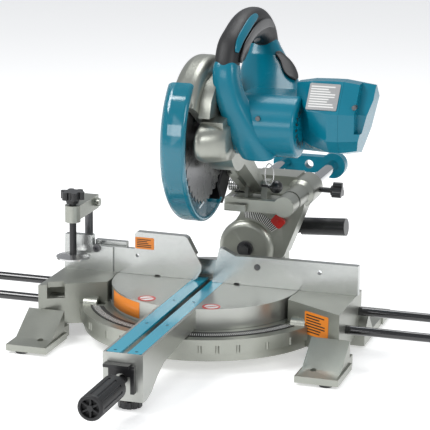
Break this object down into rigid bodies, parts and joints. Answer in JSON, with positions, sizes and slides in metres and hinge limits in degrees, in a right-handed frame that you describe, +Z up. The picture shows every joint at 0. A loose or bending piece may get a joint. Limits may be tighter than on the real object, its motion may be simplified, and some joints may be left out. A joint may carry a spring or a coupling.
{
  "type": "slide compound mitre saw",
  "caption": "Slide compound mitre saw on a cast base: turntable with kerf arm, fences, tilting slide arm, guarded blade head with D-handle, extension rods and hold-down vise.",
  "frame": {"origin": "turntable pivot axis at the level of the foot undersides, the centre of the bench bolt pattern", "axes": "+Z up, +X to the operator's right along the fence, +Y away from the operator along the kerf slot"},
  "size_m": [0.776, 0.878, 0.4576],
  "materials": {
    "cast_aluminium": "satin",
    "machined_aluminium": "brushed",
    "teal_plastic": "satin",
    "black_plastic": "matte",
    "rubber": "matte",
    "guard_plastic": "glossy",
    "kerf_plastic": "glossy",
    "red_plastic": "glossy",
    "scale_plastic": "satin",
    "dark_steel": "satin",
    "steel": "polished",
    "chrome": "polished",
    "copper_iron": "satin"
  },
  "bodies": {
    "base": {"base_casting": "cast_aluminium", "mitre_scale": "scale_plastic", "rubber_feet": "rubber", "turntable_pivot_bolt": "dark_steel", "fence_left": "machined_aluminium", "fence_right": "machined_aluminium", "fence_bolts": "dark_steel"},
    "sub_fence": {"sub_fence": "machined_aluminium"},
    "left_extension": {"left_extension_rods": "dark_steel", "left_workpiece_holder": "cast_aluminium"},
    "right_extension": {"right_extension_rods": "dark_steel", "right_workpiece_holder": "cast_aluminium"},
    "left_clamp": {"left_rod_clamp": "black_plastic"},
    "right_clamp": {"right_rod_clamp": "black_plastic"},
    "vise_post": {"vise_rod": "chrome", "vise_arm": "dark_steel"},
    "vise_foot": {"vise_screw": "black_plastic", "vise_plate": "dark_steel"},
    "table": {"turntable": "cast_aluminium", "kerf_board_left": "kerf_plastic", "kerf_board_right": "kerf_plastic", "kerf_board_screws": "dark_steel", "lower_pole_bushes": "black_plastic"},
    "grip": {"mitre_grip": "rubber"},
    "lock_lever": {"mitre_lock_lever": "black_plastic"},
    "foot": {"adjusting_foot": "black_plastic"},
    "carriage": {"lower_slide_poles": "chrome", "bevel_holder": "cast_aluminium", "bevel_pivot_bolt": "dark_steel"},
    "bevel_lever": {"bevel_lever": "black_plastic"},
    "bevel_arm": {"bevel_arm": "cast_aluminium", "bevel_scale_plate": "scale_plastic", "slide_bushes": "black_plastic"},
    "stop_button": {"bevel_stop_button": "red_plastic"},
    "lock_knob": {"slide_lock_knob": "black_plastic"},
    "upper_slide": {"upper_slide_pipes": "chrome", "pivot_block": "cast_aluminium", "rear_pipe_holder": "teal_plastic", "head_pivot_shaft": "steel", "return_spring": "steel"},
    "stopper": {"stopper_pin": "black_plastic"},
    "head": {"gear_housing": "cast_aluminium", "blade_case": "cast_aluminium", "motor_housing": "teal_plastic", "battery_cap": "teal_plastic", "handle_frame": "teal_plastic", "rubber_grip": "rubber", "side_pad": "rubber", "motor_stator": "copper_iron", "dust_guide": "rubber", "housing_screws": "dark_steel", "spindle_bearings": "steel"},
    "trigger": {"trigger": "black_plastic"},
    "lock_off": {"lock_off_lever": "black_plastic"},
    "rotor": {"motor_rotor": "copper_iron"},
    "blade": {"saw_blade": "dark_steel", "blade_flanges": "steel", "spindle": "steel"},
    "guard": {"blade_guard": "guard_plastic"}
  },
  "joints": [
    {"name": "mitre_turn", "type": "hinge", "parent": "base", "child": "table", "pos_m": [0, 0, 0.074], "axis": [0, 0, 1], "range_deg": [-47, 52]},
    {"name": "lower_slide", "type": "slide", "parent": "table", "child": "carriage", "axis": [0, -1, 0], "range_m": [0, 0.044]},
    {"name": "bevel_tilt", "type": "hinge", "parent": "carriage", "child": "bevel_arm", "pos_m": [0, 0.189, 0.074], "axis": [0, 1, 0], "range_deg": [-30, 5]},
    {"name": "upper_slide", "type": "slide", "parent": "bevel_arm", "child": "upper_slide", "axis": [0, -1, 0], "range_m": [0, 0.13]},
    {"name": "head_chop", "type": "hinge", "parent": "upper_slide", "child": "head", "pos_m": [0, 0.145, 0.182], "axis": [1, 0, 0], "range_deg": [0, 40], "stiffness_Nm_per_rad": 8, "springref_deg": -68.75},
    {"name": "guard_swing", "type": "hinge", "parent": "head", "child": "guard", "pos_m": [0, -0.01, 0.286], "axis": [-1, 0, 0], "range_deg": [0, 120]},
    {"name": "blade_spin", "type": "hinge", "parent": "head", "child": "blade", "pos_m": [0, -0.01, 0.286], "axis": [1, 0, 0], "continuous": true},
    {"name": "rotor_spin", "type": "hinge", "parent": "head", "child": "rotor", "pos_m": [0, -0.011, 0.31], "axis": [1, 0, 0], "continuous": true},
    {"name": "trigger_pull", "type": "slide", "parent": "head", "child": "trigger", "axis": [0, -0.2, 0.9798], "range_m": [0, 0.004], "stiffness_N_per_m": 800, "springref_m": -0.001},
    {"name": "lock_off_press", "type": "slide", "parent": "head", "child": "lock_off", "axis": [1, 0, 0], "range_m": [0, 0.003], "stiffness_N_per_m": 600, "springref_m": -0.001},
    {"name": "stopper_slide", "type": "slide", "parent": "upper_slide", "child": "stopper", "axis": [1, 0, 0], "range_m": [0, 0.006]},
    {"name": "lock_knob_turn", "type": "hinge", "parent": "bevel_arm", "child": "lock_knob", "pos_m": [0.077, 0.245, 0.16], "axis": [1, 0, 0], "range_deg": [-90, 0]},
    {"name": "grip_turn", "type": "hinge", "parent": "table", "child": "grip", "pos_m": [0, -0.338, 0.0406], "axis": [0, 1, 0], "range_deg": [-180, 0]},
    {"name": "lock_lever_press", "type": "hinge", "parent": "table", "child": "lock_lever", "pos_m": [0, -0.342, 0.056], "axis": [1, 0, 0], "range_deg": [-8, 0], "stiffness_Nm_per_rad": 0.6, "springref_deg": 11.46},
    {"name": "foot_turn", "type": "hinge", "parent": "table", "child": "foot", "pos_m": [0, -0.312, 0], "axis": [0, 0, 1], "range_deg": [-180, 180]},
    {"name": "bevel_lever_turn", "type": "hinge", "parent": "carriage", "child": "bevel_lever", "pos_m": [0, 0.285, 0.074], "axis": [0, 1, 0], "range_deg": [-20, 25]},
    {"name": "stop_button_pull", "type": "slide", "parent": "bevel_arm", "child": "stop_button", "axis": [0, -1, 0], "range_m": [0, 0.004]},
    {"name": "sub_fence_slide", "type": "slide", "parent": "base", "child": "sub_fence", "axis": [-1, 0, 0], "range_m": [0, 0.05]},
    {"name": "vise_lift", "type": "slide", "parent": "base", "child": "vise_post", "axis": [0, 0, 1], "range_m": [-0.02, 0.025]},
    {"name": "vise_feed", "type": "slide", "parent": "vise_post", "child": "vise_foot", "axis": [0, 0, 1], "range_m": [-0.002, 0.024]},
    {"name": "left_extension_pull", "type": "slide", "parent": "base", "child": "left_extension", "axis": [-1, 0, 0], "range_m": [0, 0.05]},
    {"name": "right_extension_pull", "type": "slide", "parent": "base", "child": "right_extension", "axis": [1, 0, 0], "range_m": [0, 0.05]},
    {"name": "left_clamp_turn", "type": "hinge", "parent": "base", "child": "left_clamp", "pos_m": [-0.203, -0.056, 0.02], "axis": [0, 0, 1], "range_deg": [0, 180]},
    {"name": "right_clamp_turn", "type": "hinge", "parent": "base", "child": "right_clamp", "pos_m": [0.203, -0.056, 0.02], "axis": [0, 0, 1], "range_deg": [0, 180]}
  ],
  "couplings": [
    {"joint": "rotor_spin", "follows": "blade_spin", "ratio": -3},
    {"joint": "guard_swing", "follows": "head_chop", "ratio": 3}
  ]
}
